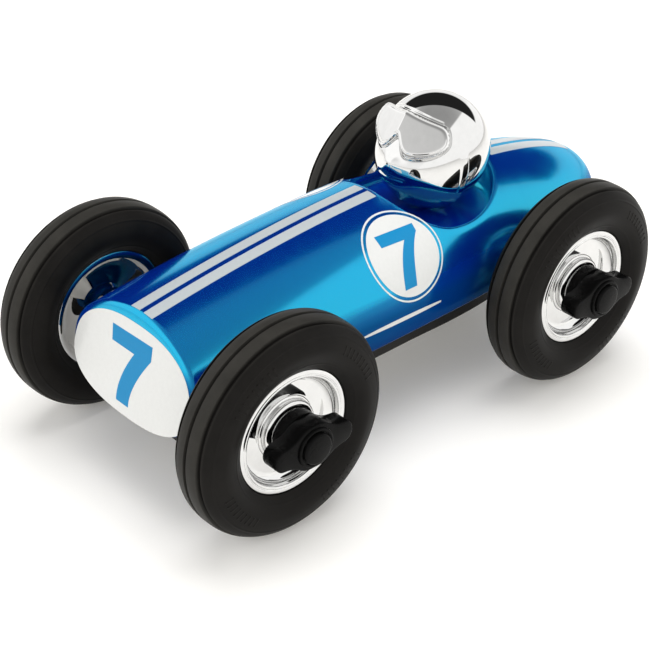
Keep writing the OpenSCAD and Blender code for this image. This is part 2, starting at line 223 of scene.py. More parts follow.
def on_side(u, v, side):
    """Point of the flank seen square-on from the side at SIDE_TURN above level.

    u runs aft and v runs up in that view's plane; side is 1 on the car's left.
    """
    out = Vector((math.cos(SIDE_TURN), 0, math.sin(SIDE_TURN)))
    up = Vector((-math.sin(SIDE_TURN), 0, math.cos(SIDE_TURN)))
    base = Vector((0, u, 0)) + up * v
    near = 0.6 * WHEEL_R
    far = 2 * WHEEL_R
    for _ in range(40):
        mid = (near + far) / 2
        if outside(base + out * mid) < 1:
            near = mid
        else:
            far = mid
    p = base + out * near
    n = surface_normal(p)
    return Vector((side * p.x, p.y, p.z)), Vector((side * n.x, n.y, n.z))


def on_face(x, h):
    """Point of the flat nose face: x across, h up along it from its middle."""
    n = Vector((0, -math.cos(FACE_LEAN), math.sin(FACE_LEAN)))
    p = Vector((x, NOSE_Y - RIM_REACH + h * math.sin(FACE_LEAN), FACE_Z + h * math.cos(FACE_LEAN)))
    return p, n


def face_edge(a):
    """Edge of the flat face at angle a."""
    s = powed(math.sin(a), 2 / FACE_N)
    x = FACE_HALF[0] * (1 - FACE_TAPER * s) * powed(math.cos(a), 2 / FACE_N)
    z = FACE_Z + FACE_HALF[1] * s * math.cos(FACE_LEAN)
    return Vector((x, NOSE_Y - RIM_REACH + math.tan(FACE_LEAN) * (z - FACE_Z), z))


# ---------------------------------------------------------------- mesh helpers

def new_object(name, verts, faces, material, sharp=35, merge=1e-6):
    mesh = bpy.data.meshes.new(name)
    mesh.from_pydata([tuple(v) for v in verts], [], faces)
    bm = bmesh.new()
    bm.from_mesh(mesh)
    bmesh.ops.remove_doubles(bm, verts=bm.verts, dist=merge)
    bmesh.ops.dissolve_degenerate(bm, edges=bm.edges, dist=merge / 10)
    bmesh.ops.recalc_face_normals(bm, faces=bm.faces)
    bm.to_mesh(mesh)
    bm.free()
    mesh.shade_smooth()
    mesh.set_sharp_from_angle(angle=math.radians(sharp))
    mesh.materials.append(material)
    obj = bpy.data.objects.new(name, mesh)
    bpy.context.scene.collection.objects.link(obj)
    return obj


def place(obj, body, slot, *nodes):
    """Hangs a piece on its body and hides the CAD nodes it stands for."""
    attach(obj, body)
    if nodes:
        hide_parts(*nodes)
    return obj


def grid_faces(rows, cols, start=0, close=False):
    faces = []
    for i in range(rows - 1):
        for j in range(cols if close else cols - 1):
            k = (j + 1) % cols
            faces.append((start + i * cols + j, start + i * cols + k,
                          start + (i + 1) * cols + k, start + (i + 1) * cols + j))
    return faces


def revolve(profile, steps=160):
    """Closed surface of revolution about Z from (radius, height) points."""
    verts = []
    for i in range(steps):
        a = 2 * math.pi * i / steps
        verts += [(r * math.cos(a), r * math.sin(a), h) for r, h in profile]
    n = len(profile)
    faces = []
    for i in range(steps):
        k = (i + 1) % steps
        for j in range(n):
            m = (j + 1) % n
            faces.append((i * n + j, k * n + j, k * n + m, i * n + m))
    return verts, faces


def print_sheet(name, rows, material, body, slot, lift=0.07 * MM, depth=0.1 * MM, ring=False):
    """Thin closed sheet over a grid of (point, normal), lifted off the surface under it.

    A ring has rows that run all the way round, and an outer edge only.
    """
    r, c = len(rows), len(rows[0])
    top = [p + n * lift for row in rows for p, n in row]
    low = [p + n * (lift - depth) for row in rows for p, n in row]
    faces = grid_faces(r, c, close=ring)
    faces += [tuple(reversed([i + r * c for i in f])) for f in faces]
    if ring:
        edges = [[(r - 1) * c + j for j in range(c)], list(reversed(range(c)))]
    else:
        rim = [j for j in range(c)] + [i * c + c - 1 for i in range(1, r)]
        rim += [(r - 1) * c + j for j in range(c - 2, -1, -1)] + [i * c for i in range(r - 2, 0, -1)]
        edges = [rim]
    for edge in edges:
        for i, j in zip(edge, edge[1:] + edge[:1]):
            faces.append((j, i, i + r * c, j + r * c))
    obj = new_object(name, top + low, faces, material, merge=1e-7)
    return place(obj, body, slot)


def turned_disc(name, place_on, centre, inner, outer, material, body, slot, rings=8, steps=128):
    """Printed disc or ring: place_on maps two plane coordinates to a point and its normal."""
    rows = []
    for i in range(rings + 1):
        r = inner + (outer - inner) * i / rings
        row = []
        for j in range(steps):
            a = 2 * math.pi * j / steps
            row.append(place_on(centre[0] + r * math.cos(a), centre[1] + r * math.sin(a)))
        rows.append(row)
    return print_sheet(name, rows, material, body, slot, ring=True)


# ---------------------------------------------------------------- materials

def node_material(name):
    m = bpy.data.materials.new(name)
    m.use_nodes = True
    bsdf = m.node_tree.nodes["Principled BSDF"]
    return m, m.node_tree, bsdf


def add(tree, kind, **inputs):
    node = tree.nodes.new(kind)
    for key, value in inputs.items():
        node.inputs[key.replace("_", " ")].default_value = value
    return node


def noise(tree, scale, detail=3.0, rough=0.5):
    coords = tree.nodes.new("ShaderNodeTexCoord")
    tex = add(tree, "ShaderNodeTexNoise", Scale=scale, Detail=detail, Roughness=rough)
    tree.links.new(coords.outputs["Object"], tex.inputs["Vector"])
    return tex


def ramp(tree, source, stops):
    node = tree.nodes.new("ShaderNodeValToRGB")
    tree.links.new(source, node.inputs["Fac"])
    while len(node.color_ramp.elements) < len(stops):
        node.color_ramp.elements.new(0.5)
    for element, (at, colour) in zip(node.color_ramp.elements, stops):
        element.position = at
        element.color = colour if len(colour) == 4 else (*colour, 1)
    return node


def grey(v):
    return (v, v, v, 1)


def bump(tree, bsdf, source, strength, distance):
    node = add(tree, "ShaderNodeBump", Strength=strength, Distance=distance)
    tree.links.new(source, node.inputs["Height"])
    tree.links.new(node.outputs["Normal"], bsdf.inputs["Normal"])
    return node


def set_shader(bsdf, **values):
    for key, value in values.items():
        bsdf.inputs[key.replace("_", " ")].default_value = value


def distance_from(tree, middle, scale):
    """Distance of a point of the object from middle, each axis taken at its own scale."""
    value = tree.nodes.new("ShaderNodeTexCoord").outputs["Object"]
    for operation, operand in (("SUBTRACT", middle), ("MULTIPLY", scale)):
        node = tree.nodes.new("ShaderNodeVectorMath")
        node.operation = operation
        tree.links.new(value, node.inputs[0])
        node.inputs[1].default_value = operand
        value = node.outputs["Vector"]
    length = tree.nodes.new("ShaderNodeVectorMath")
    length.operation = "LENGTH"
    tree.links.new(value, length.inputs[0])
    return length.outputs["Value"]


LOW_SHADE_HEIGHT = 60 * MM  # height above the ground that the heights of the painted shade on the lower flanks are fractions of
COCKPIT_SHADE_REACH = 25.5 * MM  # how far fore and aft the painted shade inside the cockpit runs


def candy_blue():
    """Candy blue: a deep blue coat over cyan-tinted flakes, under clear gloss, with painted shade on the
    lower flanks.
    """
    m, t, b = node_material("candy_blue")
    flakes = noise(t, 9000, 1.0, 0.4)
    tone = ramp(t, flakes.outputs["Fac"], [(0.35, (0.0003, 0.015, 0.245)), (0.65, (0.0006, 0.021, 0.30))])
    # Painted shade: a darker blue on the lower flanks, blended in by height
    low = ramp(t, flakes.outputs["Fac"], [(0.35, (0.0004, 0.026, 0.15)), (0.65, (0.0008, 0.034, 0.19))])
    height_up = distance_from(t, (0, 0, 0), (0, 0, 1 / LOW_SHADE_HEIGHT))
    raised = ramp(t, height_up, [(0.70, grey(0.0)), (0.835, grey(1.0))])
    paint = t.nodes.new("ShaderNodeMix")
    paint.data_type = "RGBA"
    t.links.new(raised.outputs["Color"], paint.inputs["Factor"])
    t.links.new(low.outputs["Color"], paint.inputs["A"])
    t.links.new(tone.outputs["Color"], paint.inputs["B"])
    t.links.new(paint.outputs["Result"], b.inputs["Base Color"])
    wear = noise(t, 180, 4.0)
    rough = ramp(t, wear.outputs["Fac"], [(0.3, grey(0.17)), (0.7, grey(0.21))])
    t.links.new(rough.outputs["Color"], b.inputs["Roughness"])
    bump(t, b, flakes.outputs["Fac"], 0.015, 0.00003)
    # Painted shade: the paint reflects less inside the cockpit
    inside = distance_from(t, (0, WELL_Y + 3.0 * MM, 0), (1 / WELL_HALF, 1 / COCKPIT_SHADE_REACH, 0))
    gloss = ramp(t, inside, [(0.88, grey(0.28)), (1.0, grey(0.95))])
    t.links.new(gloss.outputs["Color"], b.inputs["Specular IOR Level"])
    # Painted shade: the cyan reflection and the clear coat fade out down the lower flanks
    sheen = ramp(t, height_up, [(0.70, (0.002, 0.07, 0.10)), (0.75, (0.004, 0.15, 0.20)),
                                (0.795, (0.010, 0.37, 0.48)), (0.835, (0.02, 0.78, 1.0))])
    t.links.new(sheen.outputs["Color"], b.inputs["Specular Tint"])
    clear = ramp(t, height_up, [(0.72, grey(0.06)), (0.835, grey(0.35))])
    t.links.new(clear.outputs["Color"], b.inputs["Coat Weight"])
    set_shader(b, Metallic=0.0, IOR=2.9, Coat_Roughness=0.03, Coat_IOR=1.45)
    return m


def gloss_print(name, colour, rough=0.32, coat=0.5, shine=0.5):
    """Printed colour with a faint mottle, under a thin gloss."""
    m, t, b = node_material(name)
    mottle = noise(t, 900, 3.0)
    low = tuple(c * 0.965 for c in colour)
    tone = ramp(t, mottle.outputs["Fac"], [(0.3, low), (0.7, colour)])
    t.links.new(tone.outputs["Color"], b.inputs["Base Color"])
    grain = noise(t, 4000, 2.0)
    bump(t, b, grain.outputs["Fac"], 0.04, 0.00002)
    set_shader(b, Roughness=rough, Specular_IOR_Level=shine, Coat_Weight=coat, Coat_Roughness=0.08)
    return m


def plated_chrome():
    """Bright plating: nearly a mirror, with the faint unevenness of a moulded base."""
    m, t, b = node_material("plated_chrome")
    film = noise(t, 320, 4.0, 0.6)
    tone = ramp(t, film.outputs["Fac"], [(0.3, (0.68, 0.68, 0.675)), (0.7, (0.72, 0.72, 0.715))])
    t.links.new(tone.outputs["Color"], b.inputs["Base Color"])
    rough = ramp(t, film.outputs["Fac"], [(0.3, grey(0.015)), (0.75, grey(0.035))])
    t.links.new(rough.outputs["Color"], b.inputs["Roughness"])
    wave = noise(t, 60, 1.0)
    bump(t, b, wave.outputs["Fac"], 0.03, 0.0001)
    set_shader(b, Metallic=1.0)
    return m


def tyre_rubber():
    """Soft black rubber: dusty sheen in patches, a tread painted lighter than the sidewall as a painted
    sheen, and a fine moulded grain.
    """
    m, t, b = node_material("tyre_rubber")
    dust = noise(t, 70, 5.0, 0.6)
    side = ramp(t, dust.outputs["Fac"], [(0.3, (0.0055, 0.005, 0.0045)), (0.75, (0.011, 0.010, 0.009))])
    tread = ramp(t, dust.outputs["Fac"], [(0.3, (0.022, 0.021, 0.019)), (0.75, (0.036, 0.034, 0.030))])
    # Painted sheen: the tread is lighter than the sidewall, blended in by radius
    outer = distance_from(t, (0, 0, 0), (1 / WHEEL_R, 1 / WHEEL_R, 0))
    tone = t.nodes.new("ShaderNodeMix")
    tone.data_type = "RGBA"
    painted_tread_sheen = ramp(t, outer, [(0.952, grey(0.0)), (0.985, grey(1.0))])
    t.links.new(painted_tread_sheen.outputs["Color"], tone.inputs["Factor"])
    t.links.new(side.outputs["Color"], tone.inputs["A"])
    t.links.new(tread.outputs["Color"], tone.inputs["B"])
    t.links.new(tone.outputs["Result"], b.inputs["Base Color"])
    rough = ramp(t, dust.outputs["Fac"], [(0.3, grey(0.40)), (0.7, grey(0.52))])
    t.links.new(rough.outputs["Color"], b.inputs["Roughness"])
    grain = noise(t, 3200, 3.0)
    bump(t, b, grain.outputs["Fac"], 0.18, 0.00005)
    set_shader(b, Specular_IOR_Level=0.07)
    return m


def satin_plastic(name, dark, light, rough=(0.38, 0.5), grain_scale=2600, grain=0.2, shine=0.5):
    """Moulded plastic with a fine texture and a slightly uneven sheen."""
    m, t, b = node_material(name)
    cloud = noise(t, 140, 4.0)
    tone = ramp(t, cloud.outputs["Fac"], [(0.3, dark), (0.7, light)])
    t.links.new(tone.outputs["Color"], b.inputs["Base Color"])
    sheen = ramp(t, cloud.outputs["Fac"], [(0.3, grey(rough[0])), (0.7, grey(rough[1]))])
    t.links.new(sheen.outputs["Color"], b.inputs["Roughness"])
    fine = noise(t, grain_scale, 2.0)
    bump(t, b, fine.outputs["Fac"], grain, 0.00005)
    set_shader(b, Specular_IOR_Level=shine)
    return m


def drawn_steel():
    """Steel rod and screws: fine lines along the length in the sheen."""
    m, t, b = node_material("drawn_steel")
    coords = t.nodes.new("ShaderNodeTexCoord")
    stretch = add(t, "ShaderNodeMapping", Scale=(60, 2400, 2400))
    t.links.new(coords.outputs["Object"], stretch.inputs["Vector"])
    lines = add(t, "ShaderNodeTexNoise", Scale=1.0, Detail=3.0)
    t.links.new(stretch.outputs["Vector"], lines.inputs["Vector"])
    tone = ramp(t, lines.outputs["Fac"], [(0.3, (0.42, 0.43, 0.45)), (0.7, (0.60, 0.61, 0.63))])
    t.links.new(tone.outputs["Color"], b.inputs["Base Color"])
    rough = ramp(t, lines.outputs["Fac"], [(0.3, grey(0.22)), (0.7, grey(0.36))])
    t.links.new(rough.outputs["Color"], b.inputs["Roughness"])
    bump(t, b, lines.outputs["Fac"], 0.1, 0.00003)
    set_shader(b, Metallic=1.0)
    return m


BLUE = candy_blue()
WHITE = gloss_print("print_white", (0.655, 0.66, 0.645))
SILVER = gloss_print("print_silver", (0.42, 0.455, 0.475))
PRINT_BLUE = gloss_print("print_blue", (0.006, 0.22, 0.465), coat=0.08, shine=0.12)
CHROME = plated_chrome()
RUBBER = tyre_rubber()
BLACK = satin_plastic("black_plastic", (0.002, 0.002, 0.002), (0.004, 0.004, 0.004),
                      rough=(0.22, 0.30), grain=0.06, shine=0.05)
PAN = satin_plastic("pan_plastic", (0.017, 0.016, 0.014), (0.025, 0.0235, 0.021),
                    rough=(0.5, 0.65), grain_scale=1500, grain=0.5, shine=0.15)
NYLON = satin_plastic("nylon", (0.70, 0.68, 0.62), (0.80, 0.78, 0.72))
STEEL = drawn_steel()

# The CAD nodes that stay in view or inside the body take a finish of their own
FINISHES = {"chassis_pan": PAN, "chassis_screws": STEEL, "head_screw": STEEL, "front_axle": STEEL,
            "rear_axle": STEEL, "bush": NYLON, "spacer": NYLON}
for node, obj in frame["nodes"].items():
    finish = FINISHES.get(node) or FINISHES.get(node.split("_")[0])
    if finish:
        for material_slot in obj.material_slots:
            material_slot.material = finish

# ---------------------------------------------------------------- body shell

# How finely each stretch of the body is divided
HOOD_STEPS = 60
WELL_STEPS = 56
TAIL_STEPS = 42
FLANK_COLS = 44
UNDER_COLS = 6
FACE_RINGS = 6
RIM_ROWS = 7
LIP_STEPS, WALL_STEPS, FILLET_STEPS, FLOOR_STEPS = 6, 5, 5, 8

FACE_CORNER = -math.radians(62)  # where the face's edge turns into the underside
BODY_SHARP = 38  # degrees; sharper folds are shaded as edges


def well_point(theta, grow):
    """Half of the cockpit's plan outline: theta runs from the front tip to the rear tip."""
    s, c = math.sin(theta), max(0.0, math.cos(theta))
    if s < 0:
        e = 2 / WELL_FRONT_N
        return (WELL_HALF + grow) * c ** e, WELL_Y + (WELL_FRONT + grow) * powed(s, e)
    return (WELL_HALF + grow) * c, WELL_Y + (WELL_REAR + grow) * s


def body_stations():
    """Places along the body, each with the cockpit angle there or None."""
    front_tip = well_point(-math.pi / 2, RIM)[1]
    rear_tip = well_point(math.pi / 2, RIM)[1]
    hood = [(NOSE_Y + (front_tip - NOSE_Y) * i / HOOD_STEPS, None) for i in range(HOOD_STEPS)]
    thetas = [math.pi * (i / WELL_STEPS - 0.5) for i in range(WELL_STEPS + 1)]
    beside = [(well_point(t, RIM)[1], t) for t in thetas]
    start = math.asin(((rear_tip - CROWN_Y) / (TAIL_Y - CROWN_Y)) ** (TAIL_N / 2))
    tail = []
    for i in range(1, TAIL_STEPS + 1):
        turn = start + (math.pi / 2 - start) * i / TAIL_STEPS
        tail.append((CROWN_Y + (TAIL_Y - CROWN_Y) * math.sin(turn) ** (2 / TAIL_N), None))
    return hood + beside + tail


def half_section(y, theta):
    """Points from the middle of the underside, round the flank, to the top or the cockpit."""
    low = edge_angle(y)
    top = math.pi / 2
    if theta is not None:
        x = well_point(theta, RIM)[0]
        top = math.acos(clamp01((x / half_width(y)) ** (UPPER_N / 2)))
    corner = skin(y, low)
    row = [Vector((corner.x * j / UNDER_COLS, corner.y, max(SKIRT_Z, corner.z)))
           for j in range(UNDER_COLS)]
    row += [skin(y, low + (top - low) * j / FLANK_COLS) for j in range(FLANK_COLS + 1)]
    if theta is None:
        row[-1].x = 0.0
    return row


def rim_rows(first):
    """Rounded rim from the flat face's edge to the first section."""
    rows = []
    n = len(first)
    low = FACE_CORNER
    for k in range(RIM_ROWS):
        q = math.pi / 2 * k / RIM_ROWS
        row = []
        for j, s in enumerate(first):
            if j < UNDER_COLS:
                a = -math.pi / 2 + (low + math.pi / 2) * j / UNDER_COLS
            else:
                a = low + (math.pi / 2 - low) * (j - UNDER_COLS) / (n - 1 - UNDER_COLS)
            f = face_edge(a)
            row.append(Vector((f.x + (s.x - f.x) * math.sin(q),
                               f.y + (s.y - f.y) * (1 - math.cos(q)),
                               f.z + (s.z - f.z) * math.sin(q))))
        rows.append(row)
    return rows


def well_rows():
    """The cockpit from its outer rim, over the lip, down the wall and across the floor."""
    thetas = [math.pi * (i / WELL_STEPS - 0.5) for i in range(WELL_STEPS + 1)]
    rows = []
    for k in range(LIP_STEPS + 1):
        t = k / LIP_STEPS
        row = []
        for theta in thetas:
            s, _ = on_top(*well_point(theta, RIM))
            c, _ = on_top(*well_point(theta, 0))
            e = Vector((c.x, c.y, c.z - RIM))
            row.append(s * (1 - t) ** 2 + c * 2 * t * (1 - t) + e * t ** 2)
        rows.append(row)
    wall_top = rows[-1]
    for k in range(1, WALL_STEPS + 1):
        t = k / WALL_STEPS
        rows.append([Vector((p.x, p.y, p.z + (FLOOR_Z + FLOOR_FILLET - p.z) * t)) for p in wall_top])
    for k in range(1, FILLET_STEPS + 1):
        a = math.pi / 2 * k / FILLET_STEPS
        g = -FLOOR_FILLET * (1 - math.cos(a))
        z = FLOOR_Z + FLOOR_FILLET * (1 - math.sin(a))
        rows.append([Vector((*well_point(t, g), z)) for t in thetas])
    inner = [well_point(theta, -FLOOR_FILLET) for theta in thetas]
    for k in range(1, FLOOR_STEPS + 1):
        t = 1 - k / FLOOR_STEPS
        rows.append([Vector((x * t, WELL_Y + (y - WELL_Y) * t, FLOOR_Z)) for x, y in inner])
    return rows


def build_body():
    """The left half of the body, from the nose face to the tail, and its mirror image."""
    sections = [half_section(y, theta) for y, theta in body_stations()]
    rim = rim_rows(sections[0])
    middle, _ = on_face(0, 0)
    face = [[middle + (p - middle) * (k / FACE_RINGS) for p in rim[0]] for k in range(FACE_RINGS)]
    rows = face + rim + sections
    verts = [p for row in rows for p in row]
    faces = grid_faces(len(rows), len(rows[0]))
    well = well_rows()
    faces += grid_faces(len(well), len(well[0]), start=len(verts))
    verts += [p for row in well for p in row]
    n = len(verts)
    verts += [Vector((-p.x, p.y, p.z)) for p in verts]
    faces += [tuple(n + i for i in reversed(f)) for f in faces]
    return new_object("body_skin", verts, faces, BLUE, sharp=BODY_SHARP, merge=3e-6)


def drill(obj, centres, radius, reach):
    """Cuts round holes along X through a piece, and leaves no modifier on it."""
    profile = [(0.0, -reach), (radius, -reach), (radius, reach), (0.0, reach)]
    for i, centre in enumerate(centres):
        verts, faces = revolve(profile, 64)
        tool = new_object(f"cutter_{i}", verts, faces, BLUE)
        tool.matrix_world = Matrix.Translation(centre) @ Matrix.Rotation(math.pi / 2, 4, "Y")
        cut = obj.modifiers.new("cut", "BOOLEAN")
        cut.object = tool
        cut.operation = "DIFFERENCE"
        cut.solver = "EXACT"
    bpy.context.view_layer.update()
    done = bpy.data.meshes.new_from_object(obj.evaluated_get(bpy.context.evaluated_depsgraph_get()))
    obj.modifiers.clear()
    obj.data = done
    done.shade_smooth()
    done.set_sharp_from_angle(angle=math.radians(BODY_SHARP))
    for tool in [o for o in bpy.data.objects if o.name.startswith("cutter_")]:
        bpy.data.objects.remove(tool)


body_skin = build_body()
axle_holes = [Vector((s * BODY_HALF, y, WHEEL_R)) for y in (FRONT_Y, REAR_Y) for s in (-1, 1)]
drill(body_skin, axle_holes, AXLE_HOLE_R, 9 * MM)
place(body_skin, BODY, "body_blue", "body_shell")

# ---------------------------------------------------------------- prints on the body

NUMBER_LIFT = 0.12 * MM  # the numbers lie on the white prints
STRIPE_IN, STRIPE_OUT = 0.95 * MM, 5.0 * MM
STRIPE_GAP = 0.3 * MM  # bare paint between a stripe and the cockpit's lip


def stripe(name, side, y0, y1, steps, across=6):
    """One of the two parallel bands, from y0 to y1 along the top of the body."""
    rows = []
    for i in range(steps + 1):
        y = y0 + (y1 - y0) * i / steps
        row = []
        for j in range(across + 1):
            x = STRIPE_IN + (STRIPE_OUT - STRIPE_IN) * j / across
            row.append(on_top(side * x, y))
        rows.append(row)
    return print_sheet(name, rows, SILVER, BODY, "print_silver")


hood_start = NOSE_Y + 3.2 * MM
hood_end = WELL_Y - WELL_FRONT - RIM - STRIPE_GAP
tail_start = WELL_Y + WELL_REAR + RIM + STRIPE_GAP
tail_end = FRONT_Y + 168 * MM
for side, tag in ((1, "left"), (-1, "right")):
    stripe(f"stripe_hood_{tag}", side, hood_start, hood_end, 70)
    stripe(f"stripe_tail_{tag}", side, tail_start, tail_end, 36)


def curve_through(a, mid, b, steps):
    """Points from a to b on the parabola that passes mid half-way."""
    out = []
    c = [2 * m - (p + q) / 2 for p, m, q in zip(a, mid, b)]
    for i in range(steps + 1):
        t = i / steps
        out.append(tuple((1 - t) ** 2 * p + 2 * t * (1 - t) * k + t * t * q
                         for p, k, q in zip(a, c, b)))
    return out


def line(a, b, steps):
    return [tuple(p + (q - p) * i / steps for p, q in zip(a, b)) for i in range(steps + 1)]


def seven_rows(outer, inner, place_on, bar=14, turn=5, stem=20, across=8):
    """Grid over a 7, between the outer and the inner edge of its one long stroke.

    outer is the bar's left end, its right end, the corner, and the stem's middle and foot.
    inner is the bar's left end, the corner, and the stem's middle and foot.
    """
    far = line(outer[0], outer[1], bar) + line(outer[1], outer[2], turn)[1:]
    far += curve_through(outer[2], outer[3], outer[4], stem)[1:]
    near = line(inner[0], inner[1], bar) + [inner[1]] * turn
    near += curve_through(inner[1], inner[2], inner[3], stem)[1:]
    rows = []
    for p, q in zip(far, near):
        rows.append([place_on(p[0] + (q[0] - p[0]) * k / across, p[1] + (q[1] - p[1]) * k / across)
                     for k in range(across + 1)])
    return rows


def scaled(points, k, dx=0.0, dy=0.0, flip=1):
    """Points made k times as large, mirrored if flip is -1, and moved by dx, dy."""
    return [(flip * x * k + dx, y * k + dy) for x, y in points]


def face_rows(rings=10, steps=160):
    """Rings over the flat nose face, from its middle out to its edge."""
    rows = []
    for k in range(rings + 1):
        row = []
        for j in range(steps):
            p = face_edge(2 * math.pi * j / steps)
            h = (p.z - FACE_Z) / math.cos(FACE_LEAN)
            row.append(on_face(p.x * k / rings, h * k / rings))
        rows.append(row)
    return rows


# White face and its number, whose corners are in wheel radii from the face's middle
print_sheet("nose_face", face_rows(), WHITE, BODY, "print_white", ring=True)
NOSE_SEVEN_OUT = [(-0.314, 0.307), (0.238, 0.32), (0.245, 0.19), (0.075, -0.114), (0.039, -0.338)]
NOSE_SEVEN_IN = [(-0.291, 0.159), (0.019, 0.159), (-0.110, -0.115), (-0.132, -0.338)]
nose_seven = seven_rows(scaled(NOSE_SEVEN_OUT, WHEEL_R), scaled(NOSE_SEVEN_IN, WHEEL_R), on_face)
print_sheet("nose_number", nose_seven, PRINT_BLUE, BODY, "print_blue", lift=NUMBER_LIFT)

# Side discs, rings and numbers, the same on both sides and readable on both
DISC_Y = FRONT_Y + 68.1 * MM
DISC_V = 33.1 * MM
DISC_R = 13.4 * MM
RING_IN, RING_OUT = 14.4 * MM, 14.95 * MM
SIDE_SEVEN_OUT = [(-0.206, 0.241), (0.241, 0.229), (0.235, 0.153), (0.088, -0.039), (0.011, -0.300)]
SIDE_SEVEN_IN = [(-0.202, 0.128), (0.064, 0.119), (-0.075, -0.078), (-0.134, -0.301)]
PIN_START = DISC_Y - 24 * MM
PIN_LENGTH = 34.5 * MM
PIN_V = DISC_V - 18.6 * MM
PIN_HALF = 0.6 * MM


def pinstripe_rows(place_on, steps=60):
    """A plain pinstripe along the lower flank, tapered at both ends."""
    rows = []
    for i in range(steps + 1):
        t = i / steps
        half = PIN_HALF * math.sin(math.pi * (0.06 + 0.88 * t)) ** 0.5
        rows.append([place_on(PIN_START + PIN_LENGTH * t, PIN_V + half * k / 3) for k in range(-3, 4)])
    return rows


for side, tag in ((1, "left"), (-1, "right")):
    def flank(u, v, side=side):
        return on_side(u, v, side)

    turned_disc(f"disc_{tag}", flank, (DISC_Y, DISC_V), 0, DISC_R, WHITE, BODY, "print_white")
    turned_disc(f"ring_{tag}", flank, (DISC_Y, DISC_V), RING_IN, RING_OUT, WHITE, BODY,
                "print_white", rings=2)
    outer = scaled(SIDE_SEVEN_OUT, WHEEL_R, DISC_Y, DISC_V, side)
    inner = scaled(SIDE_SEVEN_IN, WHEEL_R, DISC_Y, DISC_V, side)
    print_sheet(f"number_{tag}", seven_rows(outer, inner, flank), PRINT_BLUE, BODY, "print_blue",
                lift=NUMBER_LIFT)
    print_sheet(f"pinstripe_{tag}", pinstripe_rows(flank), WHITE, BODY, "print_white")

# ---------------------------------------------------------------- wheels

FLANGE_R = 20.0 * MM
DRUM_R = 17.2 * MM
SHOULDER_R = 21.0 * MM
SHOULDER_N = 2.83
ROLL_R = 27.5 * MM
ROLL_IN = 3.3 * MM
BEAD_R = FLANGE_R + 0.15 * MM
GROOVES = (-4.9 * MM, 0.0, 4.9 * MM)
GROOVE_HALF = 0.55 * MM
GROOVE_DEEP = 1.2 * MM
TREAD_HALF = 6.3 * MM
FLANGE_X = 4.4 * MM
RIB_ARCS, RIBS_PER_ARC = 4, 9
RIB_PITCH = 4.2  # degrees from one rib to the next
RIB_ENDS = (26.4 * MM, 29.2 * MM)
RIB_HALF = 0.42 * MM
WING_REACH = 14.4  # mm from the axle to a wing's tip


def tread_radius(x):
    """Radius of the tread at x from the tyre's middle plane, grooves included."""
    q = clamp01(1 - (abs(x) / TYRE_HALF) ** SHOULDER_N)
    r = SHOULDER_R + (WHEEL_R - SHOULDER_R) * q ** (1 / SHOULDER_N)
    near = min(abs(x - g) for g in GROOVES)
    return r - GROOVE_DEEP * (1 - smooth(GROOVE_HALF - 0.25 * MM, GROOVE_HALF + 0.12 * MM, near))


def sidewall_x(r):
    """Distance of the sidewall from the middle plane at radius r."""
    q = clamp01((r - SHOULDER_R) / (WHEEL_R - SHOULDER_R))
    x = TYRE_HALF * (1 - q ** SHOULDER_N) ** (1 / SHOULDER_N)
    x -= ROLL_IN * (max(0.0, ROLL_R - r) / (ROLL_R - BEAD_R)) ** 1.8
    # Two fine moulded lines round the sidewall
    for line_r, reach in ((31.2 * MM, 0.16 * MM), (22.4 * MM, 0.12 * MM)):
        x += reach * math.exp(-((r - line_r) / (0.22 * MM)) ** 2)
    return x


def tyre_profile():
    """Half outline from the middle groove outwards, as (radius, x), ending at the bead."""
    xs = set()
    for i in range(30):
        xs.add(round(TREAD_HALF / MM * i / 29, 3))
    for g in GROOVES:
        for k in range(-9, 10):
            x = g / MM + 0.09 * k
            if 0 <= x < TREAD_HALF / MM:
                xs.add(round(x, 3))
    half = [(tread_radius(x * MM), x * MM) for x in sorted(xs)]
    edge_r = half[-1][0]
    for i in range(1, 61):
        r = edge_r + (BEAD_R - edge_r) * (i / 60) ** 1.15
        half.append((r, sidewall_x(r)))
    half.append((BEAD_R, FLANGE_X))
    half.append((DRUM_R, FLANGE_X))
    return half


def sidewall_ribs(verts, faces):
    """Adds arcs of short raised ribs on the outer sidewall."""
    # Height over the sidewall and half-width, from the buried foot to the top
    steps = ((-0.3 * MM, RIB_HALF), (0.12 * MM, RIB_HALF * 0.75), (0.17 * MM, RIB_HALF * 0.45))
    for arc in range(RIB_ARCS):
        for k in range(RIBS_PER_ARC):
            a = 2 * math.pi / RIB_ARCS * arc + math.radians(20 + RIB_PITCH * k)
            base = len(verts)
            for r in RIB_ENDS:
                x = sidewall_x(r)
                for lift, half in steps:
                    for s in (-1, 1):
                        t = a + s * half / r
                        verts.append((r * math.cos(t), r * math.sin(t), x + lift))
            ring = [0, 2, 4, 5, 3, 1]
            for i, j in zip(ring, ring[1:] + ring[:1]):
                faces.append((base + i, base + j, base + 6 + j, base + 6 + i))
            faces.append(tuple(base + i for i in ring))
            faces.append(tuple(base + 6 + i for i in reversed(ring)))


def arc_points(r0, x0, r1, x1, sag, steps=10):
    """Points from (r0, x0) to (r1, x1) on a bowed line; sag is its depth towards -x."""
    out = []
    for i in range(steps + 1):
        t = i / steps
        out.append((r0 + (r1 - r0) * t, x0 + (x1 - x0) * t - sag * 4 * t * (1 - t)))
    return out


def quarter(r0, x0, r1, x1, steps=12):
    """Quarter of an ellipse from (r0, x0), leaving along x, to (r1, x1), arriving along r."""
    turn = [math.pi / 2 * i / steps for i in range(steps + 1)]
    return [(r0 + (r1 - r0) * (1 - math.cos(a)), x0 + (x1 - x0) * math.sin(a)) for a in turn]


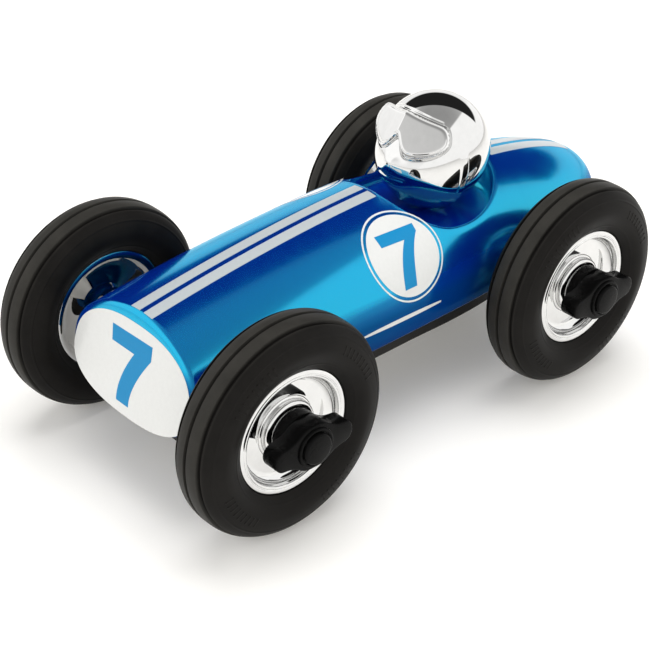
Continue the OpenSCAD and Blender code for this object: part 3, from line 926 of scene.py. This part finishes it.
def hub_profile():
    """Outline of the plated hub as (radius, x), from the outer lip inwards and round."""
    lip = [(20.0, 5.2), (19.97, 5.5), (19.85, 5.8), (19.6, 5.97), (19.2, 6.0), (18.8, 6.0),
           (18.62, 5.96), (18.5, 5.8), (18.35, 5.76), (18.2, 5.8), (18.08, 5.93), (17.85, 5.93),
           (17.6, 5.85), (17.42, 5.65)]
    # A steep wall, then a flat mirror-like floor round the boss
    dish = quarter(17.35, 5.3, 14.6, 1.9, 20) + [(14.4, 1.9), (12.4, 1.9), (10.6, 1.9), (10.4, 1.9)]
    boss = quarter(10.2, 1.93, 9.5, 2.5, 8) + [(9.48, 3.2)] + quarter(9.48, 3.4, 8.3, 4.62, 14)
    boss += [(8.1, 4.62), (7.5, 4.62), (7.35, 4.62), (7.3, 4.7), (7.2, 5.1), (7.0, 5.2), (2.0, 5.2)]
    back = [(2.0, -4.6), (6.0, -4.6), (7.0, -4.2), (7.5, -1.8)]
    back += arc_points(7.5, -1.8, 16.4, -2.2, -0.5, 8)[1:]
    back += [(17.2, -4.6), (17.5, -5.6), (18.4, -5.9), (19.4, -6.0), (19.85, -5.8), (20.0, -5.4)]
    drum = [(20.0, -4.4), (17.2, -4.4), (17.2, 4.4), (20.0, 4.4)]
    return [(r * MM, x * MM) for r, x in lip + dish + boss + back + drum]


def wing_side(y):
    """Half-width of the spinner's plan, in mm, at distance y along its wings."""
    boss, wing, tip = 7.2, 3.2, 2.9
    w = wing + (boss - wing) / (1 + (abs(y) / 6.2) ** 4)
    over = max(0.0, abs(y) - (WING_REACH - tip)) / tip
    return w * math.sqrt(max(0.0, 1 - over * over))


def wing_outline(steps=36):
    """Plan of the spinner as (along, across) in mm, clockwise."""
    ys = [WING_REACH * math.sin(math.pi / 2 * i / steps) for i in range(-steps, steps + 1)]
    top = [(y, max(0.02, wing_side(y))) for y in ys]
    return top + [(y, -w) for y, w in reversed(top)]


def inset(points, d):
    """Outline moved inwards by d along its corner normals; points run clockwise."""
    out = []
    n = len(points)
    for i in range(n):
        ax, ay = points[i - 1]
        bx, by = points[(i + 1) % n]
        tx, ty = bx - ax, by - ay
        length = math.hypot(tx, ty)
        out.append((points[i][0] + ty / length * d, points[i][1] - tx / length * d))
    return out


def prism(points, x0, x1, edge):
    """Solid between x0 and x1 over an outline, its front and back edges rounded."""
    levels = [(x0, edge), (x0 + 0.3 * edge, 0.3 * edge), (x0 + edge, 0.0), (x1 - edge, 0.0),
              (x1 - 0.5 * edge, 0.13 * edge), (x1 - 0.13 * edge, 0.5 * edge), (x1, edge)]
    verts = []
    for x, d in levels:
        verts += [(px * MM, py * MM, x * MM) for px, py in inset(points, d)]
    n = len(points)
    faces = grid_faces(len(levels), n, close=True)
    faces.append(tuple(range(n)))
    faces.append(tuple((len(levels) - 1) * n + i for i in reversed(range(n))))
    return verts, faces


def turned(profile_mm, steps=96):
    return revolve([(r * MM, x * MM) for r, x in profile_mm], steps)


def join_meshes(parts):
    verts, faces = [], []
    for v, f in parts:
        base = len(verts)
        verts += v
        faces += [tuple(base + i for i in face) for face in f]
    return verts, faces


def spinner_mesh():
    """Two-winged wheel nut: a round foot, the wings, and a stepped cap."""
    base = turned([(0, 5.2), (7.5, 5.2), (7.7, 5.4), (7.7, 8.9), (0, 8.9)])
    wings = prism(wing_outline(), 8.8, 15.0, 0.45)
    ring = turned([(0, 14.6), (6.35, 14.6), (6.35, 15.35), (6.25, 15.65), (6.0, 15.8), (5.6, 15.8),
                   (5.35, 15.65), (5.25, 15.3), (0, 15.3)])
    cap = turned([(0, 15), (4.95, 15), (4.95, 16.2), (4.85, 16.5), (4.6, 16.72), (4.3, 16.8), (0, 16.8)])
    return join_meshes([base, wings, ring, cap])


def wheel_frame(side, y):
    """Places a piece drawn along Z from the tyre's middle plane; its +X ends up vertical."""
    out = Vector((side, 0, 0))
    along = Vector((0, -1, 0))
    up = out.cross(along)
    m = Matrix((along, up, out)).transposed().to_4x4()
    return Matrix.Translation((side * WHEEL_X, y, WHEEL_R)) @ m


half = tyre_profile()
tyre_outline = [(r, -x) for r, x in reversed(half[1:])] + half
for y, row, axle_body in ((FRONT_Y, "f", "front_wheels"), (REAR_Y, "r", "rear_wheels")):
    for side, tag in ((1, "l"), (-1, "r")):
        corner = row + tag
        at = wheel_frame(side, y)
        verts, faces = revolve(tyre_outline, 192)
        sidewall_ribs(verts, faces)
        tyre = new_object(f"tyre_skin_{corner}", verts, faces, RUBBER, sharp=50, merge=1e-7)
        tyre.matrix_world = at
        place(tyre, axle_body, "rubber", f"tyre_{corner}")
        hub = new_object(f"hub_skin_{corner}", *revolve(hub_profile(), 192), CHROME, sharp=40)
        hub.matrix_world = at
        place(hub, axle_body, "plated_chrome", f"hub_{corner}")
        spinner = new_object(f"wing_nut_{corner}", *spinner_mesh(), BLACK, sharp=40, merge=1e-7)
        spinner.matrix_world = at
        place(spinner, axle_body, "black_plastic", f"spinner_{corner}")

# ---------------------------------------------------------------- driver's head


def bell(x, width):
    return math.exp(-(x / width) ** 2)


def apart(lon, lat, lon0, lat0):
    """Angle in degrees between two directions from the head's middle."""
    a, b, d = math.radians(lat), math.radians(lat0), math.radians(lon - lon0)
    c = math.sin(a) * math.sin(b) + math.cos(a) * math.cos(b) * math.cos(d)
    return math.degrees(math.acos(max(-1.0, min(1.0, c))))


def goggles(lon, lat):
    """Depth in degrees inside the outline of the goggles: above 0 inside, below 0 outside."""
    f = abs(lon)
    top = 52 - 9 * (f / 55) ** 2 - lat
    low = lat - (9 + 13 * (f / 58) ** 3 + 17 * bell(f, 9))
    end = (60 - f) * math.cos(math.radians(lat))
    # Corners are rounded by letting the edges blend where they meet
    return -3 * math.log(sum(math.exp(-min(40, d) / 3) for d in (top, low, end)))


BOWL = Vector((0, -2.0, -3.4)) * MM
BOWL_R = 17.2 * MM
BLEND = 0.5 * MM  # softness of the change from the helmet to the bowl
PANE_R = 19.08 * MM
PANE_PROUD = 0.5 * MM
PANE_LON, PANE_LAT, PANE_SPREAD = 27, 31, 27
CHEEK_OUT, NOSE_OUT, CHIN_OUT = 1.9 * MM, 1.3 * MM, 0.5 * MM
MOUTH_DEEP, GAP_DEEP, PANE_DEEP = 0.4 * MM, 0.75 * MM, 0.3 * MM
TRIM = 0.35 * MM  # depth of the line under the brow and height of the strap
STRAP_LON = 76


def head_radius(lon, lat):
    """Distance of the head's surface from its middle; angles in degrees, lon 0 straight ahead."""
    facing = abs(lon)
    a, b = math.radians(lat), math.radians(lon)
    # The lower half swells into a fuller bowl, whose middle lies lower and a little ahead
    along = BOWL.y * -math.cos(b) * math.cos(a) + BOWL.z * math.sin(a)
    bowl = along + math.sqrt(along * along - BOWL.length_squared + BOWL_R ** 2)
    r = HEAD_R + BLEND * math.log1p(math.exp((bowl - HEAD_R) / BLEND))
    # Full cheeks, a nose, a calm straight mouth and a rounded chin
    r += CHEEK_OUT * bell(facing, 50) * bell(lat + 4, 22)
    r += NOSE_OUT * bell(facing, 8) * bell(lat - 2, 9)
    r -= MOUTH_DEEP * bell(lat + 13, 2.0) * (1 - smooth(14, 20, facing))
    r += CHIN_OUT * bell(facing, 15) * bell(lat + 23, 7)
    # Goggles: two flattened panes in one frame, under the helmet's brow
    inside = goggles(lon, lat)
    tilt = min(apart(facing, lat, PANE_LON, PANE_LAT), PANE_SPREAD)
    pane = PANE_R / math.cos(math.radians(tilt)) - PANE_DEEP * bell(inside - 3.2, 1.3)
    r += (max(pane, r + PANE_PROUD) - r) * smooth(-0.6, 1.8, inside)
    # A narrow groove runs round the frame
    r -= GAP_DEEP * bell(inside + 0.9, 1.0)
    brow = (1 - smooth(1.6, 3.2, abs(lat - 55 + 9 * (facing / 55) ** 2))) * (1 - smooth(52, 58, facing))
    r -= TRIM * brow
    # Strap from the goggles' end down under the jaw
    strap = (1 - smooth(3.0, 5.2, abs(facing - STRAP_LON))) * (1 - smooth(10, 14, lat))
    return r + TRIM * strap * smooth(-50, -44, lat)


def build_head(cols=480, rows=270, low_lat=-68.0):
    """Head and neck in one piece, from a grid of directions down to low_lat degrees."""
    verts = []
    for i in range(rows + 1):
        lat = low_lat + (90 - low_lat) * i / rows
        for j in range(cols):
            lon = -180 + 360 * j / cols
            la, lo = math.radians(lat), math.radians(lon)
            way = Vector((math.sin(lo) * math.cos(la), -math.cos(lo) * math.cos(la), math.sin(la)))
            verts.append(way * head_radius(lon, lat) + HEAD)
    faces = grid_faces(rows + 1, cols, close=True)
    # Short neck: from the head's lower ring down to the cockpit floor
    base = len(verts)
    neck = [(6.5 * MM, FLOOR_Z + 0.9 * MM), (6.2 * MM, FLOOR_Z + 0.1 * MM), (6.1 * MM, FLOOR_Z),
            (0.0, FLOOR_Z)]
    for r, z in neck:
        for j in range(cols):
            lo = math.radians(-180 + 360 * j / cols)
            verts.append(Vector((math.sin(lo) * r, HEAD.y - math.cos(lo) * r, z)))
    for j in range(cols):
        k = (j + 1) % cols
        faces.append((base + j, base + k, k, j))
    faces += grid_faces(len(neck), cols, start=base, close=True)
    return new_object("driver_figure", verts, faces, CHROME, sharp=60, merge=1e-6)


place(build_head(), BODY, "plated_chrome", "driver_head")

# ---------------------------------------------------------------- studio

floor_material, floor_tree, floor_bsdf = node_material("studio_floor")
floor_tone = ramp(floor_tree, noise(floor_tree, 6, 3.0).outputs["Fac"],
                  [(0.3, (0.90, 0.89, 0.87)), (0.7, (0.92, 0.91, 0.89))])
floor_tree.links.new(floor_tone.outputs["Color"], floor_bsdf.inputs["Base Color"])
set_shader(floor_bsdf, Roughness=0.6, Emission_Color=(1.0, 0.97, 0.90, 1), Emission_Strength=0.13)
GROUND = 3.0
floor = new_object("studio_ground", [(-GROUND, -GROUND, 0), (GROUND, -GROUND, 0), (GROUND, GROUND, 0),
                                     (-GROUND, GROUND, 0)], [(0, 1, 2, 3)], floor_material)

world = bpy.data.worlds.new("studio_world")
bpy.context.scene.world = world
world.use_nodes = True
sky_tree = world.node_tree


def math_node(kind, a, b):
    """Result of one operation on two values, each a number or another node's output."""
    node = sky_tree.nodes.new("ShaderNodeMath")
    node.operation = kind
    for socket, value in zip(node.inputs, (a, b)):
        if isinstance(value, (int, float)):
            socket.default_value = value
        else:
            sky_tree.links.new(value, socket)
    return node.outputs[0]


def soft_step(value, low, high):
    """0 where the value is at low and 1 where it is at high, with a soft step between."""
    node = sky_tree.nodes.new("ShaderNodeMapRange")
    node.interpolation_type = "SMOOTHSTEP"
    sky_tree.links.new(value, node.inputs["Value"])
    node.inputs["From Min"].default_value = low
    node.inputs["From Max"].default_value = high
    return node.outputs["Result"]


def vector_math(kind, source, operand=(0, 0, 0), output="Vector"):
    node = sky_tree.nodes.new("ShaderNodeVectorMath")
    node.operation = kind
    node.inputs[1].default_value = operand
    sky_tree.links.new(source, node.inputs[0])
    return node.outputs[output]


def facing(*axis):
    """Cosine of the angle between a direction and a fixed axis."""
    return vector_math("DOT_PRODUCT", directions, axis, "Value")


def toward(azimuth):
    """Cosine of the angle in plan between a direction and an azimuth in degrees from +X."""
    a = math.radians(azimuth)
    return vector_math("DOT_PRODUCT", plan, (math.cos(a), math.sin(a), 0), "Value")


def panel(level, inside, value):
    """Level with its part inside a studio panel replaced by the panel's brightness."""
    keep = math_node("SUBTRACT", 1.0, inside)
    return math_node("ADD", math_node("MULTIPLY", level, keep), math_node("MULTIPLY", inside, value))


def patch(azimuth, half, edge, low, high, soft=0.03):
    """Mask of a panel: its middle azimuth, half-width and edge in degrees, and its sine heights."""
    c = math.cos
    across = soft_step(toward(azimuth), c(math.radians(half + edge)), c(math.radians(half)))
    up = math_node("MULTIPLY", soft_step(height, low - soft, low + soft),
                   soft_step(height, high + soft, high - soft))
    return math_node("MULTIPLY", across, up)


directions = sky_tree.nodes.new("ShaderNodeTexCoord").outputs["Generated"]
split = sky_tree.nodes.new("ShaderNodeSeparateXYZ")
sky_tree.links.new(directions, split.inputs[0])
height = split.outputs["Z"]
plan = vector_math("NORMALIZE", vector_math("MULTIPLY", directions, (1, 1, 0)))

# A white sweep that dims from the horizon up, with the panels and openings of the studio in it
CEILING, SWEEP = 0.38, 0.80
LEFT_PANEL, SIDE_WALL, DARK_ROOM = 1.4, 1.28, 0.02
level = math_node("ADD", CEILING, math_node("MULTIPLY", soft_step(height, 1.0, 0.1), SWEEP))
level = panel(level, patch(-140, 46, 14, 0.1, 0.75, 0.1), LEFT_PANEL)
level = panel(level, soft_step(facing(0.7355, 0.3896, -0.5543), -0.02, 0.04), SIDE_WALL)
dark_room = math_node("MULTIPLY", soft_step(facing(0.680, -0.717, -0.154), -0.53, -0.56),
                      soft_step(height, 0.28, 0.34))
level = panel(level, dark_room, DARK_ROOM)
sky = sky_tree.nodes["Background"]
sky.inputs["Color"].default_value = (1.0, 0.995, 0.985, 1)
sky_tree.links.new(level, sky.inputs["Strength"])
scene_view = bpy.context.scene.view_settings
scene_view.view_transform = "Standard"
scene_view.look = "None"


def area_light(name, place_at, size, power):
    """Square lamp of the given size that shines on the car."""
    data = bpy.data.lights.new(name, "AREA")
    data.shape = "SQUARE"
    data.size = size
    data.energy = power
    lamp = bpy.data.objects.new(name, data)
    lamp.location = place_at
    lamp.rotation_mode = "QUATERNION"
    lamp.rotation_quaternion = (LAMP_AIM - Vector(place_at)).to_track_quat("-Z", "Y")
    # The plated parts show the studio's panels, not the lamps
    lamp.visible_glossy = False
    bpy.context.scene.collection.objects.link(lamp)


LAMP_AIM = Vector((0, 0, 0.04))
area_light("overhead", (-0.15, 0.2, 0.9), 0.9, 8.0)
area_light("front_fill", (0.3, -1.0, 0.6), 0.7, 1.8)

# ---------------------------------------------------------------- camera

CAMERA_TURN = math.radians(47.22)
CAMERA_RISE = math.radians(31.93)
CAMERA_ROLL = math.radians(1.33)
CAMERA_FAR = 15.4 * WHEEL_R
LENS = 91.0
MID_AXLES = (FRONT_Y + REAR_Y) / 2
AIM = Vector((-0.0202 * WHEEL_R, MID_AXLES - 0.1416 * WHEEL_R, 0.6744 * WHEEL_R))

back = Vector((math.sin(CAMERA_TURN) * math.cos(CAMERA_RISE),
               -math.cos(CAMERA_TURN) * math.cos(CAMERA_RISE), math.sin(CAMERA_RISE)))
right = Vector((math.cos(CAMERA_TURN), math.sin(CAMERA_TURN), 0))
up = back.cross(right)
right_rolled = right * math.cos(CAMERA_ROLL) + up * math.sin(CAMERA_ROLL)
up_rolled = up * math.cos(CAMERA_ROLL) - right * math.sin(CAMERA_ROLL)
camera_data = bpy.data.cameras.new("camera")
camera_data.sensor_width = 36
camera_data.lens = LENS
camera = bpy.data.objects.new("camera", camera_data)
camera.matrix_world = Matrix.Translation(AIM + back * CAMERA_FAR) @ Matrix(
    (right_rolled, up_rolled, back)).transposed().to_4x4()
bpy.context.scene.collection.objects.link(camera)
bpy.context.scene.camera = camera
